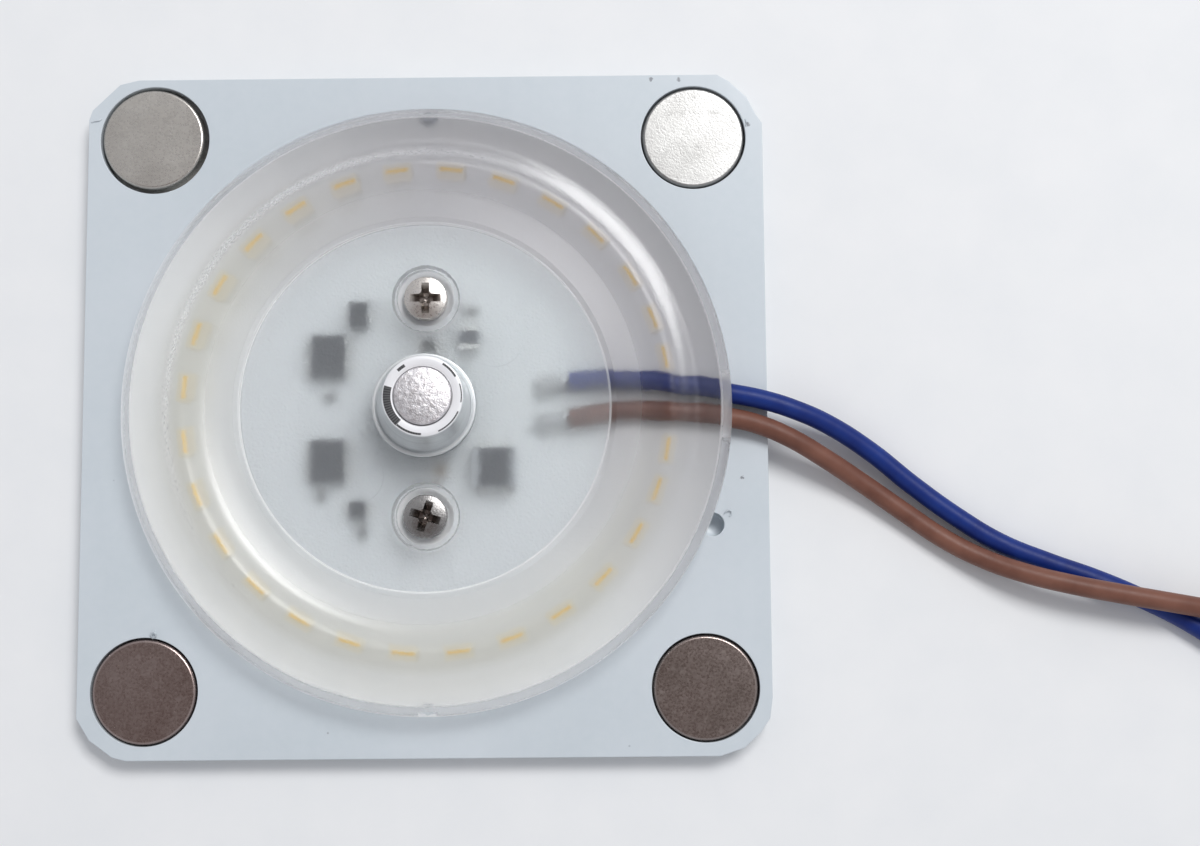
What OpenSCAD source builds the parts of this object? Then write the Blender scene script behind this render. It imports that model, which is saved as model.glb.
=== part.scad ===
// Round LED light module under a moulded ring lens, screwed to a square
// carrier plate that holds a disc magnet in each corner. Two supply leads leave
// the lens through a notch on the +X side.
// The origin is at the middle of the plate's underside, +Z is the light side.

/* [Carrier plate] */
// Side of the square plate
plate_side = 80; // [66:1:120]
// Thickness of the plate
plate_t = 3; // [2.5:0.1:5]
// Length that the longest corner cut takes off a side
corner_cut = 6.6; // [3:0.1:7.5]
// Diameter of the stray drill hole beside the lens
stray_hole_d = 2.7; // [1:0.1:3.5]
// Depth of the stray drill hole
stray_hole_depth = 2; // [0.5:0.1:2.2]

/* [Magnets] */
// Diameter of a disc magnet
magnet_d = 12; // [8:0.5:14]
// Width of the plate left between a magnet's hole and the nearest edges
magnet_wall = 1.5; // [1.2:0.1:8]
// Radial gap between a magnet and its hole
magnet_gap = 0.2; // [0.05:0.05:0.3]
// Chamfer on both edges of a magnet
magnet_chamfer = 0.3; // [0.1:0.05:0.6]

/* [Board] */
// How far the light module sits off the plate's centre, along X
module_shift = 0.6; // [-1:0.1:1]
// Gap between the board's edge and the lens's rim
board_gap = 0.4; // [0.2:0.1:1.5]
// Thickness of the board
board_t = 1; // [0.8:0.1:2]
// Distance between the two screws
screw_pitch = 25; // [22:0.5:30]

/* [LEDs] */
// Number of LEDs round the ring
led_count = 28; // [20:1:28]
// Length of an LED along the ring
led_l = 3.5; // [3:0.1:4]
// Width of an LED across the ring
led_w = 2.8; // [2:0.1:3.2]
// Height of an LED
led_h = 0.7; // [0.5:0.05:1]

/* [Lens] */
// Outer diameter of the lens
lens_d = 70; // [68:0.5:86]
// Width of the ring from its crest, over the LEDs, out to the rim
ring_outer_w = 7; // [6:0.1:8]
// Width of the ring from its crest in to the step round the disc
ring_inner_w = 6.2; // [5:0.1:7.5]
// Thickness of the flat disc
disc_t = 1.7; // [1.4:0.1:3]
// Clear height between the board and the lens
lens_room = 2.7; // [2.6:0.1:5]
// Height of the ring's crest above the flat disc
crest_rise = 2.4; // [1.8:0.1:4]
// Height of the rim's outer edge above the plate
rim_h = 3.9; // [3.8:0.1:5]
// Gap between the rim and the plate
rim_gap = 0.25; // [0.1:0.05:0.8]
// Thickness of the rim's wall
wall_t = 1.6; // [1:0.1:2]
// Half the width of the groove over the LEDs
groove_half_w = 2.4; // [2.2:0.1:3]
// Wall left between the groove's peak and the crest
groove_cover = 1.4; // [1:0.1:2.5]
// Width of the notch that the leads pass through
notch_w = 8; // [6:0.5:12]

/* [Screws] */
// Diameter of a screw's head
head_d = 5; // [4.5:0.1:5.6]
// Height of a screw's head
head_h = 1.6; // [1.2:0.1:1.8]
// Core diameter of a screw's shank
shank_d = 2.4; // [2:0.1:2.8]
// Length of a screw below its head
screw_l = 6; // [5:0.25:6]

/* [Cap] */
// Diameter of the cap's flange
cap_d = 11.6; // [10:0.2:13]
// Height of the cap above the lens
cap_h = 6; // [4:0.2:9]
// Width of the cap's flat rim round the metal disc
cap_rim_w = 1.1; // [0.8:0.1:1.4]
// Diameter of the metal disc in the cap
cap_disc_d = 6.4; // [5:0.2:6.8]

/* [Leads] */
// Outer diameter of a lead
lead_d = 2.3; // [1.8:0.1:2.4]
// Diameter of a lead's tinned conductor
core_d = 1; // [0.6:0.1:1.2]

/* [Hidden] */
$fn = 96;
eps = 0.01;
fit = 0.2;                     // slack of a part in its hole
lead_sides = 8;

// Heights, stacked up from the plate's underside
board_z = plate_t;
board_top = board_z + board_t;
under_z = board_top + lens_room;
disc_z = under_z + disc_t;
crest_z = disc_z + crest_rise;
rim_edge_z = plate_t + rim_h;
rim_low_z = plate_t + rim_gap;
recess_depth = 1.8;
seat_z = disc_z - recess_depth;

// Radius of an arc that starts level and drops this far over this run
function arc_r(run, drop) = (run * run + drop * drop) / (2 * drop);

// Lens section
lens_r = lens_d / 2;
ring_r = lens_r - ring_outer_w;
step_w = 0.7;                  // flat step between the disc and the ring
step_h = 0.3;
hump_in_r = ring_r - ring_inner_w;
disc_r = hump_in_r - step_w;
hump_in_z = disc_z + step_h + 0.1;
inner_drop = crest_z - hump_in_z;
outer_drop = crest_z - rim_edge_z;
inner_arc_r = arc_r(ring_inner_w, inner_drop);
outer_arc_r = arc_r(ring_outer_w, outer_drop);
groove_rise = crest_z - groove_cover - under_z;
groove_shift = (groove_rise * groove_rise - groove_half_w * groove_half_w) / (2 * groove_half_w);
groove_arc_r = groove_shift + groove_half_w;

// Screws and their bosses
screw_y = screw_pitch / 2;
bore_r = shank_d / 2 + 2 * fit;
recess_r = head_d / 2 + 0.8;
boss_r = recess_r + 0.9;
boss_floor_t = 1.3;
post_r = 3;

board_r = lens_r - wall_t - board_gap;

// Wire notch, location pips and ejector marks
notch_top_z = plate_t + rim_h - 0.45;
notch_corner_r = 1;
pip_r = 1.1;
pip_place_r = lens_r - wall_t - 0.1;
pip_top_z = board_top + 0.6;
ejector_r = 3.2;
ejector_place = [8, 7.8];
ejector_depth = 0.15;

// LED places, as angles from +X; the two pairs beside the leads stand apart
ring_turn = 0.9;
led_spread = [4.5, 1.5];
led_pitch = 360 / led_count;
window = [led_l - 0.9, led_w - 0.8];
window_corner_r = 0.5;
window_depth = 0.45;

function spread(i) =
    i < 2 ? led_spread[i] : i > led_count - 3 ? -led_spread[led_count - 1 - i] : 0;
function led_angle(i) = (i + 0.5) * led_pitch + ring_turn + spread(i);
function led_name(i) = str("led_", i < 9 ? "0" : "", i + 1);

// Corner cuts, as shares of corner_cut: [in from the side edge, in from the
// top or bottom edge], following the outline anticlockwise
cut_bottom_right = [[0.92, 0], [0.5, 0.14], [0.21, 0.41], [0.05, 0.64], [0, 1]];
cut_top_right = [[0, 0.9], [0.11, 0.74], [0.27, 0.42], [0.59, 0.12], [0.8, 0]];
cut_top_left = [[0.89, 0], [0.55, 0.08], [0.06, 0.55], [0, 0.73]];
cut_bottom_left = [[0, 0.74], [0.23, 0.36], [0.64, 0.06], [0.88, 0]];
stray_hole = [33.4, -13.5];

magnet_hole_r = magnet_d / 2 + magnet_gap;
magnet_place = plate_side / 2 - magnet_wall - magnet_hole_r;
// The magnet holes are drilled by hand: [side along X, side along Y, drift along X,
// drift along Y, radius drilled over size]
hole_top_left = [-1, 1, 0.2, 0.35, 0.25];
hole_top_right = [1, 1, -0.5, 0.05, 0];
hole_bottom_left = [-1, -1, 0.05, 0.1, 0];
hole_bottom_right = [1, -1, 0.05, 0.05, 0];
// Side of an oversize hole that its magnet leans to, as a share of that radius
magnet_lean = [-0.7, 0.5];

// Parts on the board, from the board's centre
ic_body = [3.9, 4.9, 1.45];
bridge_body = [4.6, 5, 2.3];
joint_blue = [13.6, 2.4];
joint_brown = [13.6, -1.9];

// Routes of the leads, from the solder joints to the stripped ends
blue_route = [
    [17, 2.9, 5.3], [22, 3.2, 5.3], [28, 2.7, 5.3], [33, 1.9, 5.2], [36.5, 1.4, 4.6],
    [39.5, 0.8, 4.2], [43, -0.3, 3.9], [47, -2, 3], [52, -5.1, 1.9], [57, -9.1, 1.3],
    [62, -12.8, 1.2], [67, -15.9, 1.2], [72.5, -18.2, 1.2], [78, -20.2, 1.2],
    [83.5, -22.6, 1.2], [88.5, -25.2, 1.2], [93, -28.2, 1.2], [97, -31.4, 1.2]];
brown_route = [
    [17, -1.4, 5.3], [22, -0.6, 5.3], [28, -0.6, 5.3], [33, -1, 5.2], [36.2, -1.4, 4.6],
    [39, -2.1, 4.2], [42.5, -3.6, 3.9], [46.5, -5.9, 3], [51, -8.8, 1.9], [56, -12.3, 1.4],
    [60.5, -15.4, 1.4], [65, -17.8, 2], [69.5, -19.5, 3], [74.5, -20.8, 3.6],
    [80, -21.9, 3.7], [85.5, -22.9, 3.6], [90.5, -23.8, 3], [95, -24.7, 2],
    [99.5, -25.8, 1.3], [103, -26.8, 1.2]];
strip_l = 5;

module on_module() {
    translate([module_shift, 0, 0]) children();
}

module at_screws() {
    for (side = [-1, 1]) translate([0, side * screw_y, 0]) children();
}

module rounded_rect(size, r) {
    for (x = [-1, 1], y = [-1, 1])
        translate([x * (size[0] / 2 - r), y * (size[1] / 2 - r)]) circle(r);
    square([size[0], size[1] - 2 * r], center = true);
    square([size[0] - 2 * r, size[1]], center = true);
}

// ---- Carrier plate and magnets ----

function corner(points, x, y) =
    [for (p = points) [x * (plate_side / 2 - corner_cut * p[0]),
                       y * (plate_side / 2 - corner_cut * p[1])]];

function hole_place(hole) =
    [hole[0] * magnet_place + hole[2], hole[1] * magnet_place + hole[3]];

module carrier_plate() {
    outline = concat(corner(cut_bottom_right, 1, -1), corner(cut_top_right, 1, 1),
                     corner(cut_top_left, -1, 1), corner(cut_bottom_left, -1, -1));
    color([0.84, 0.87, 0.9]) difference() {
        linear_extrude(plate_t) polygon(outline);
        for (hole = [hole_top_left, hole_top_right, hole_bottom_left, hole_bottom_right])
            translate([0, 0, -1]) translate(hole_place(hole))
                cylinder(r = magnet_hole_r + hole[4], h = plate_t + 2);
        on_module() at_screws()
            translate([0, 0, -1]) cylinder(r = shank_d / 2 + 0.05, h = plate_t + 2);
        translate([stray_hole[0], stray_hole[1], plate_t - stray_hole_depth])
            cylinder(d = stray_hole_d, h = stray_hole_depth + 1);
    }
}

module magnet(hole) {
    r = magnet_d / 2;
    c = magnet_chamfer;
    color([0.68, 0.66, 0.64]) translate(hole_place(hole) + hole[4] * magnet_lean)
        rotate_extrude() polygon([[0, 0], [r - c, 0], [r, c], [r, plate_t - c],
                                  [r - c, plate_t], [0, plate_t]]);
}

// ---- Board and what is soldered to it ----

module led_board() {
    color([0.93, 0.94, 0.93]) on_module() difference() {
        translate([0, 0, board_z]) cylinder(r = board_r, h = board_t);
        at_screws() translate([0, 0, board_z - 1]) cylinder(r = bore_r, h = board_t + 2);
        for (side = [-1, 1])
            translate([0, side * pip_place_r, board_z - 1])
                cylinder(r = pip_r + fit, h = board_t + 2);
    }
}

module at_led(i) {
    on_module() rotate(led_angle(i)) translate([ring_r, 0, board_top]) rotate(90) children();
}

module led(i) {
    tab_t = 0.2;
    tab_w = led_w - 0.6;
    mark = 0.5;
    color([0.95, 0.95, 0.92]) at_led(i) difference() {
        union() {
            linear_extrude(led_h) difference() {
                square([led_l - 0.2, led_w], center = true);
                translate([led_l / 2 - 0.1, led_w / 2])
                    rotate(45) square(mark, center = true);
            }
            translate([-led_l / 2, -tab_w / 2, 0]) cube([led_l, tab_w, tab_t]);
        }
        translate([0, 0, led_h - window_depth]) linear_extrude(window_depth + 1)
            rounded_rect(window, window_corner_r);
    }
}

module phosphor_fills() {
    color([0.96, 0.83, 0.5]) for (i = [0:led_count - 1]) at_led(i)
        translate([0, 0, led_h - window_depth]) linear_extrude(window_depth - 0.03)
            rounded_rect(window, window_corner_r);
}

// A moulded package with bent leads on its two X sides
module leaded_package(body, leads, pitch, lead_w, span) {
    lead_t = 0.2;
    waist = body[2] * 0.5;
    foot = 0.6;
    lift = 0.1;
    half = body[0] / 2;
    taper = 0.12;
    color([0.2, 0.21, 0.23]) union() {
        translate([0, 0, lift]) difference() {
            translate([-half, -body[1] / 2, 0]) cube(body);
            for (side = [-1, 1])
                translate([side * half, 0, body[2]]) rotate([0, side * 45, 0])
                    cube([2 * taper, body[1] + 1, 2 * taper], center = true);
            translate([-half + 0.8, body[1] / 2 - 0.8, body[2] - 0.1]) cylinder(d = 0.7, h = 1);
        }
        for (side = [0, 180], k = [0:leads - 1])
            rotate(side) translate([0, (k - (leads - 1) / 2) * pitch + lead_w / 2, 0])
                rotate([90, 0, 0]) linear_extrude(lead_w) polygon([
                    [half - 0.2, waist], [span / 2 - foot, waist],
                    [span / 2 - foot + 0.15, 0], [span / 2, 0], [span / 2, lead_t],
                    [span / 2 - foot + 0.3, lead_t],
                    [span / 2 - foot + 0.15, waist + lead_t], [half - 0.2, waist + lead_t]]);
    }
}

// A moulded block with a flat terminal at each X end
module tabbed_package(body, tab_l, tab_w) {
    tab_t = 0.25;
    color([0.22, 0.23, 0.25]) union() {
        translate([0, 0, body[2] / 2]) cube(body, center = true);
        translate([-body[0] / 2 - tab_l, -tab_w / 2, 0]) cube([body[0] + 2 * tab_l, tab_w, tab_t]);
    }
}

// A ceramic chip with a metal cap round each X end
module chip(body, tone) {
    cap_l = body[0] * 0.2;
    cap_t = 0.04;
    color(tone) union() {
        translate([0, 0, body[2] / 2 + cap_t]) cube(body, center = true);
        for (side = [-1, 1])
            translate([side * (body[0] - cap_l + cap_t) / 2, 0, body[2] / 2 + cap_t])
                cube([cap_l, body[1] + 2 * cap_t, body[2] + 2 * cap_t], center = true);
    }
}

module on_board(x, y, turn = 0) {
    on_module() translate([x, y, board_top]) rotate(turn) children();
}

module driver_ic_upper() {
    on_board(-11.4, 6.1) leaded_package(ic_body, 4, 1.27, 0.4, 6);
}
module driver_ic_lower() {
    on_board(-11.4, -6) leaded_package(ic_body, 4, 1.27, 0.4, 6);
}
module bridge_rectifier() {
    on_board(7.8, -6.9, 90) leaded_package(bridge_body, 2, 2.5, 0.6, 6.6);
}
module diode_upper() {
    on_board(-7.9, 10.9) tabbed_package([2.1, 2.9, 1.9], 0.7, 1.2);
}
module diode_lower() {
    on_board(-7.9, -11.6) tabbed_package([2.1, 2, 1.4], 0.5, 1.2);
}
module capacitor_input() {
    on_board(4.9, screw_y - 4.3, 90) chip([2.6, 2.2, 1.7], [0.4, 0.36, 0.32]);
}
module capacitor_supply() {
    on_board(1.5, 5.3 - screw_y) chip([2, 1.25, 0.9], [0.55, 0.48, 0.4]);
}
module resistor_fuse() {
    on_board(5, 11.3, 90) chip([1.5, 1.2, 0.5], [0.25, 0.25, 0.26]);
}
module resistor_bleed() {
    on_board(0.2, screw_y - 5.2) chip([3, 1.5, 0.5], [0.25, 0.25, 0.26]);
}
module resistor_sense() {
    on_board(-11.3, 1.4) chip([1.5, 0.8, 0.4], [0.25, 0.25, 0.26]);
}
module resistor_start() {
    on_board(-12.3, -10, 90) chip([1.5, 0.8, 0.4], [0.25, 0.25, 0.26]);
}
module resistor_load() {
    on_board(-7.5, -14.2, 90) chip([1.9, 0.9, 0.4], [0.25, 0.25, 0.26]);
}

// Solder that has run from a pad up to the bare end of a lead
module solder_joint(pad, start) {
    pad_x = pad[0] + module_shift;
    pad_r = 1.5;
    core_r = core_d / 2 + 0.1;
    color([0.72, 0.73, 0.74]) intersection() {
        hull() {
            translate([pad_x, pad[1], board_top]) sphere(pad_r, $fn = 28);
            translate([start[0] - core_r - 0.1, start[1], start[2]]) sphere(core_r, $fn = 20);
            translate([start[0] - core_r - 0.5, start[1], board_top]) sphere(core_r, $fn = 20);
        }
        translate([pad_x - 5, pad[1] - 5, board_top]) cube([10, 10, 5]);
    }
}

// ---- Lens ----

// Pointed arch of the groove over the LEDs, drawn in the section's plane
module groove_section() {
    intersection() {
        translate([ring_r - groove_shift, under_z]) circle(groove_arc_r);
        translate([ring_r + groove_shift, under_z]) circle(groove_arc_r);
    }
}

// Half section: everything under the disc, the step and the two arcs of the
// ring, less the room over the board and the groove
module lens_section() {
    tall = crest_z - rim_low_z;
    difference() {
        union() {
            translate([0, rim_low_z]) square([disc_r, disc_z - rim_low_z]);
            translate([disc_r, rim_low_z]) square([step_w, hump_in_z - rim_low_z]);
            intersection() {
                translate([ring_r, crest_z - inner_arc_r]) circle(inner_arc_r);
                translate([hump_in_r, rim_low_z]) square([ring_inner_w, tall]);
            }
            intersection() {
                translate([ring_r, crest_z - outer_arc_r]) circle(outer_arc_r);
                translate([ring_r, rim_low_z]) square([ring_outer_w, tall]);
            }
        }
        translate([-1, rim_low_z - 1])
            square([lens_r - wall_t + 1, under_z - rim_low_z + 1]);
        groove_section();
    }
}

// Notch for the leads, open at the bottom, cut through the rim's wall
module wire_notch() {
    h = notch_top_z - rim_low_z + 1;
    translate([lens_r - wall_t - 1, 0, rim_low_z - 1]) rotate([90, 0, 90])
        linear_extrude(wall_t + 2) {
            translate([-notch_w / 2, 0]) square([notch_w, h - notch_corner_r]);
            translate([-notch_w / 2 + notch_corner_r, 0])
                square([notch_w - 2 * notch_corner_r, h]);
            for (side = [-1, 1])
                translate([side * (notch_w / 2 - notch_corner_r), h - notch_corner_r])
                    circle(notch_corner_r);
        }
}

module lens_cover() {
    color([0.86, 0.89, 0.92, 0.45]) on_module() difference() {
        union() {
            rotate_extrude($fn = 180) lens_section();
            at_screws() {
                translate([0, 0, seat_z - boss_floor_t])
                    cylinder(r = boss_r, h = boss_floor_t + recess_depth - disc_t + eps);
                translate([0, 0, board_top]) cylinder(r = post_r, h = seat_z - board_top);
            }
            for (side = [-1, 1])
                translate([0, side * pip_place_r, rim_low_z])
                    cylinder(r = pip_r, h = pip_top_z - rim_low_z);
        }
        at_screws() {
            translate([0, 0, seat_z]) cylinder(r = recess_r, h = recess_depth + 1);
            translate([0, 0, disc_z - 0.5])
                cylinder(r1 = recess_r, r2 = boss_r + 0.02, h = 0.5 + eps);
            translate([0, 0, board_top - 1]) cylinder(r = bore_r, h = lens_room + disc_t + 2);
        }
        for (side = [-1, 1])
            translate([side * ejector_place[0], side * ejector_place[1], under_z - 1])
                cylinder(r = ejector_r, h = ejector_depth + 1);
        wire_notch();
    }
}

// ---- Screws ----

// Cross recess: two crossed slots whose ends taper to the bottom
module cross_recess() {
    slot_w = 0.75;
    wing_r = 1.45;
    depth = 1.1;
    intersection() {
        translate([0, 0, -depth]) cylinder(r1 = 0.5, r2 = wing_r, h = depth + 0.2);
        union() {
            cube([4, slot_w, 4], center = true);
            cube([slot_w, 4, 4], center = true);
        }
    }
}

module screw(side, turn) {
    r = head_d / 2;
    edge_h = head_h * 0.45;
    dome_h = head_h - edge_h;
    dome_r = (r * r + dome_h * dome_h) / (2 * dome_h);
    tip_l = 1;
    color([0.7, 0.69, 0.66]) on_module()
        translate([0, side * screw_y, seat_z]) rotate(turn) difference() {
            union() {
                intersection() {
                    cylinder(r = r, h = head_h);
                    translate([0, 0, head_h - dome_r]) sphere(dome_r);
                }
                translate([0, 0, tip_l - screw_l])
                    cylinder(d = shank_d, h = screw_l - tip_l + eps);
                translate([0, 0, -screw_l]) cylinder(d1 = 0.8, d2 = shank_d, h = tip_l + eps);
            }
            translate([0, 0, head_h]) cross_recess();
        }
}

// ---- Cap ----

cap_flange_t = 0.9;
cap_lip = 0.3;
cap_edge_r = 0.5;
cap_pocket_depth = 0.6;
cap_disc_t = 1;

module cap_body() {
    r = cap_d / 2;
    neck_r = r - 0.65;
    pocket_r = (cap_disc_d + fit) / 2;
    top_r = pocket_r + cap_rim_w;
    color([0.8, 0.81, 0.83]) on_module() translate([0, 0, disc_z]) difference() {
        union() {
            rotate_extrude() difference() {
                square([r, cap_flange_t + 0.2]);
                translate([neck_r - 0.1, cap_flange_t]) square([r - cap_lip - neck_r + 0.1, 1]);
            }
            translate([0, 0, cap_flange_t - eps])
                cylinder(r1 = neck_r, r2 = top_r, h = cap_h - cap_flange_t - cap_edge_r + eps);
            translate([0, 0, cap_h - cap_edge_r])
                cylinder(r1 = top_r, r2 = top_r - cap_edge_r, h = cap_edge_r);
        }
        translate([0, 0, cap_h - cap_pocket_depth])
            cylinder(r = pocket_r, h = cap_pocket_depth + 1);
    }
}

module cap_disc() {
    r = cap_disc_d / 2;
    rise = 0.35;
    ball_r = (r * r + rise * rise) / (2 * rise);
    color([0.75, 0.74, 0.74]) on_module()
        translate([0, 0, disc_z + cap_h - cap_pocket_depth]) intersection() {
            cylinder(r = r, h = cap_disc_t + rise);
            translate([0, 0, cap_disc_t + rise - ball_r]) sphere(ball_r);
        }
}

// ---- Leads ----

function unit(v) = v / norm(v);
function heading(path, i) =
    unit(path[min(i + 1, len(path) - 1)] - path[max(i - 1, 0)]);
function side_of(dir) = unit(cross([0, 0, 1], dir));
function ring(centre, dir, r) =
    let (side = side_of(dir), up = cross(dir, side))
    [for (k = [0:lead_sides - 1])
        let (a = (k + 0.5) * 360 / lead_sides) centre + r * (cos(a) * side + sin(a) * up)];

module tube(path, r) {
    n = lead_sides;
    last = len(path) - 1;
    points = [for (i = [0:last]) each ring(path[i], heading(path, i), r)];
    walls = [for (i = [0:last - 1], k = [0:n - 1])
        [i * n + k, i * n + (k + 1) % n, (i + 1) * n + (k + 1) % n, (i + 1) * n + k]];
    ends = [[for (k = [n - 1:-1:0]) k], [for (k = [0:n - 1]) last * n + k]];
    polyhedron(points, concat(walls, ends));
}

// Tinned end of a stripped lead
module lead_end(path) {
    last = len(path) - 1;
    tip = path[last];
    color([0.75, 0.75, 0.74])
        tube([tip, tip + strip_l * unit(tip - path[last - 1])], core_d / 2);
}

carrier_plate();
magnet(hole_top_left);  // magnet_top_left
magnet(hole_top_right);  // magnet_top_right
magnet(hole_bottom_left);  // magnet_bottom_left
magnet(hole_bottom_right);  // magnet_bottom_right
led_board();
for (i = [0:led_count - 1]) led(i);
phosphor_fills();
driver_ic_upper();
driver_ic_lower();
bridge_rectifier();
diode_upper();
diode_lower();
capacitor_input();
capacitor_supply();
resistor_fuse();
resistor_bleed();
resistor_sense();
resistor_start();
resistor_load();
solder_joint(joint_blue, blue_route[0]);  // solder_joint_blue
solder_joint(joint_brown, brown_route[0]);  // solder_joint_brown
lens_cover();
screw(1, 0);  // screw_upper
screw(-1, 20);  // screw_lower
cap_body();
cap_disc();
color([0.1, 0.17, 0.5]) tube(blue_route, lead_d / 2);  // lead_blue
color([0.5, 0.3, 0.22]) tube(brown_route, lead_d / 2);  // lead_brown
lead_end(blue_route);  // lead_end_blue
lead_end(brown_route);  // lead_end_brown
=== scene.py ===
"""Looks of a round LED light module: a moulded ring lens over a board with a ring
of LEDs, on a square plastic plate with a disc magnet in each corner."""

import math

import bmesh
import bpy
from mathutils import Matrix, Vector, noise


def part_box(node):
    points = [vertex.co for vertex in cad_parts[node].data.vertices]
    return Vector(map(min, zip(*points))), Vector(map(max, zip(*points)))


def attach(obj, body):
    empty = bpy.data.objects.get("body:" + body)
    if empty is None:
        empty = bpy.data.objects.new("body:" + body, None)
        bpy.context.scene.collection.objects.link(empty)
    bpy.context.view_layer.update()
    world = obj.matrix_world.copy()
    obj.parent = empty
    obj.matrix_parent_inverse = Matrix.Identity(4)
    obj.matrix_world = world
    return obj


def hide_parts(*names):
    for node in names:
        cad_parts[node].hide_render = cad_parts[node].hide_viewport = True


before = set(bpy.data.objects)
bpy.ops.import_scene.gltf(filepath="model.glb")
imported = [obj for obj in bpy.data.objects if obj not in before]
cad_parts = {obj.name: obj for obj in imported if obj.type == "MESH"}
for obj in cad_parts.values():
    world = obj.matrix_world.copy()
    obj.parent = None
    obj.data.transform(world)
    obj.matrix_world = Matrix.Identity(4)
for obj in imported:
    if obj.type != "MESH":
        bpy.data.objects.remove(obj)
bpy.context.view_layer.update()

MM = 0.001

# ---- Sizes in millimetres, as in the part's source ---------------------------------------

PLATE_SIDE = 80
PLATE_T = 3
CORNER_CUT = 6.6
# For each corner, its side and its cut, as shares of CORNER_CUT in from the two edges
CORNERS = (
    (1, -1, ((0.92, 0), (0.5, 0.14), (0.21, 0.41), (0.05, 0.64), (0, 1))),
    (1, 1, ((0, 0.9), (0.11, 0.74), (0.27, 0.42), (0.59, 0.12), (0.8, 0))),
    (-1, 1, ((0.89, 0), (0.55, 0.08), (0.06, 0.55), (0, 0.73))),
    (-1, -1, ((0, 0.74), (0.23, 0.36), (0.64, 0.06), (0.88, 0))))
STRAY_HOLE = (33.4, -13.5)
STRAY_HOLE_R = 1.35
STRAY_HOLE_DEPTH = 2
MAGNET_R = 6
# Magnet holes: place and radius
MAGNET_HOLES = ((-32.1, 32.65, 6.45), (31.8, 32.35, 6.2), (-32.25, -32.2, 6.2),
                (32.35, -32.25, 6.2))

MODULE_X = 0.6
SCREW_Y = 12.5
SCREW_L = 6
SHANK_R = 1.2
HEAD_H = 1.6

BOARD_Z = 3
BOARD_TOP = 4
BOARD_R = 33
UNDER_Z = 6.7
DISC_Z = 8.4
CREST_Z = 10.8
RIM_EDGE_Z = 6.9
RIM_LOW_Z = 3.25
LENS_R = 35
RING_R = 28
DISC_R = 21.1
STEP_W = 0.7
STEP_Z = 8.7
RING_FOOT_Z = 8.8
WALL_T = 1.6
BORE_R = 1.6
RECESS_R = 3.3
SEAT_Z = 6.6
SEAT_T = 1.3
BOSS_R = 4.2
POST_R = 3
PIP_R = 1.1
PIP_PLACE_R = 33.3
PIP_TOP_Z = 4.6
EJECTORS = ((8, 7.8), (-8, -7.8))
EJECTOR_R = 3.2
EJECTOR_DEPTH = 0.15
NOTCH_W = 8
NOTCH_TOP_Z = 6.45
NOTCH_CORNER_R = 1

CAP_FLANGE_T = 0.9
CAP_LIP = 0.3
CAP_POCKET_DEPTH = 0.6

LEAD_R = 1.15
CORE_R = 0.5
STRIP_L = 5
BLUE_ROUTE = (
    (17, 2.9, 5.3), (22, 3.2, 5.3), (28, 2.7, 5.3), (33, 1.9, 5.2), (36.5, 1.4, 4.6),
    (39.5, 0.8, 4.2), (43, -0.3, 3.9), (47, -2, 3), (52, -5.1, 1.9), (57, -9.1, 1.3),
    (62, -12.8, 1.2), (67, -15.9, 1.2), (72.5, -18.2, 1.2), (78, -20.2, 1.2),
    (83.5, -22.6, 1.2), (88.5, -25.2, 1.2), (93, -28.2, 1.2), (97, -31.4, 1.2))
BROWN_ROUTE = (
    (17, -1.4, 5.3), (22, -0.6, 5.3), (28, -0.6, 5.3), (33, -1, 5.2), (36.2, -1.4, 4.6),
    (39, -2.1, 4.2), (42.5, -3.6, 3.9), (46.5, -5.9, 3), (51, -8.8, 1.9),
    (56, -12.3, 1.4), (60.5, -15.4, 1.4), (65, -17.8, 2), (69.5, -19.5, 3),
    (74.5, -20.8, 3.6), (80, -21.9, 3.7), (85.5, -22.9, 3.6), (90.5, -23.8, 3),
    (95, -24.7, 2), (99.5, -25.8, 1.3), (103, -26.8, 1.2))

# ---- Sizes that the source doesn't have, or has otherwise --------------------------------

# The groove is wider and lower than the source's, whose steep walls mirror as dark lines
GROOVE_HALF_W = 2.9
GROOVE_PEAK_Z = 7.9
# The screw heads are a little narrower than the source's, and the cap a little wider
HEAD_R = 2.47
CAP_GROWTH = 0.1
CAP_NECK_IN = 0.6
CAP_TOP_R = 4.5
CAP_POCKET_R = 3.3
# The cap leans a little: shift of its top, and the height above its foot where it starts
CAP_LEAN = (0.4, 0.45)
CAP_LEAN_FROM = 1.2
# Printed strokes on the cap's top: from and to angle in degrees, inner and outer radius
STROKES = (
    (164, 181, 3.52, 4.38), (-181, -132, 3.52, 4.38), (-132, -92, 4.1, 4.34),
    (-66, -24, 4.2, 4.36), (-10, 18, 4.22, 4.36), (30, 58, 4.08, 4.32),
    (120, 134, 3.75, 4.1))
# Specks of dirt on the plate: place and radius
SPECKS = ((26.9, 39.5, 0.3), (30.2, 39.4, 0.28), (38.3, 33.9, 0.3), (36.9, -8.1, 0.22))
# Curls of swarf and flakes of glue left on the plate: path and radius
SWARF = (
    (((-31.35, -26.05, 2.9), (-31.42, -25.7, 3.3), (-31.3, -25.35, 3.55),
      (-31.05, -25.25, 3.6), (-30.9, -25.5, 3.45), (-30.95, -25.85, 3.1)), 0.12),
    (((34.75, -12.35, 2.95), (34.95, -12.05, 3.2), (35.3, -11.85, 3.3),
      (35.62, -12.05, 3.2), (35.6, -12.4, 3.1), (35.35, -12.6, 3.05)), 0.1),
    (((-39.7, 34.9, 3), (-39.3, 35.05, 3.08), (-38.8, 35.1, 3.08), (-38.5, 35.3, 3)), 0.11),
    (((38.05, 34.5, 3), (38.2, 34.1, 3.1), (38.1, 33.7, 3)), 0.13))
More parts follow.
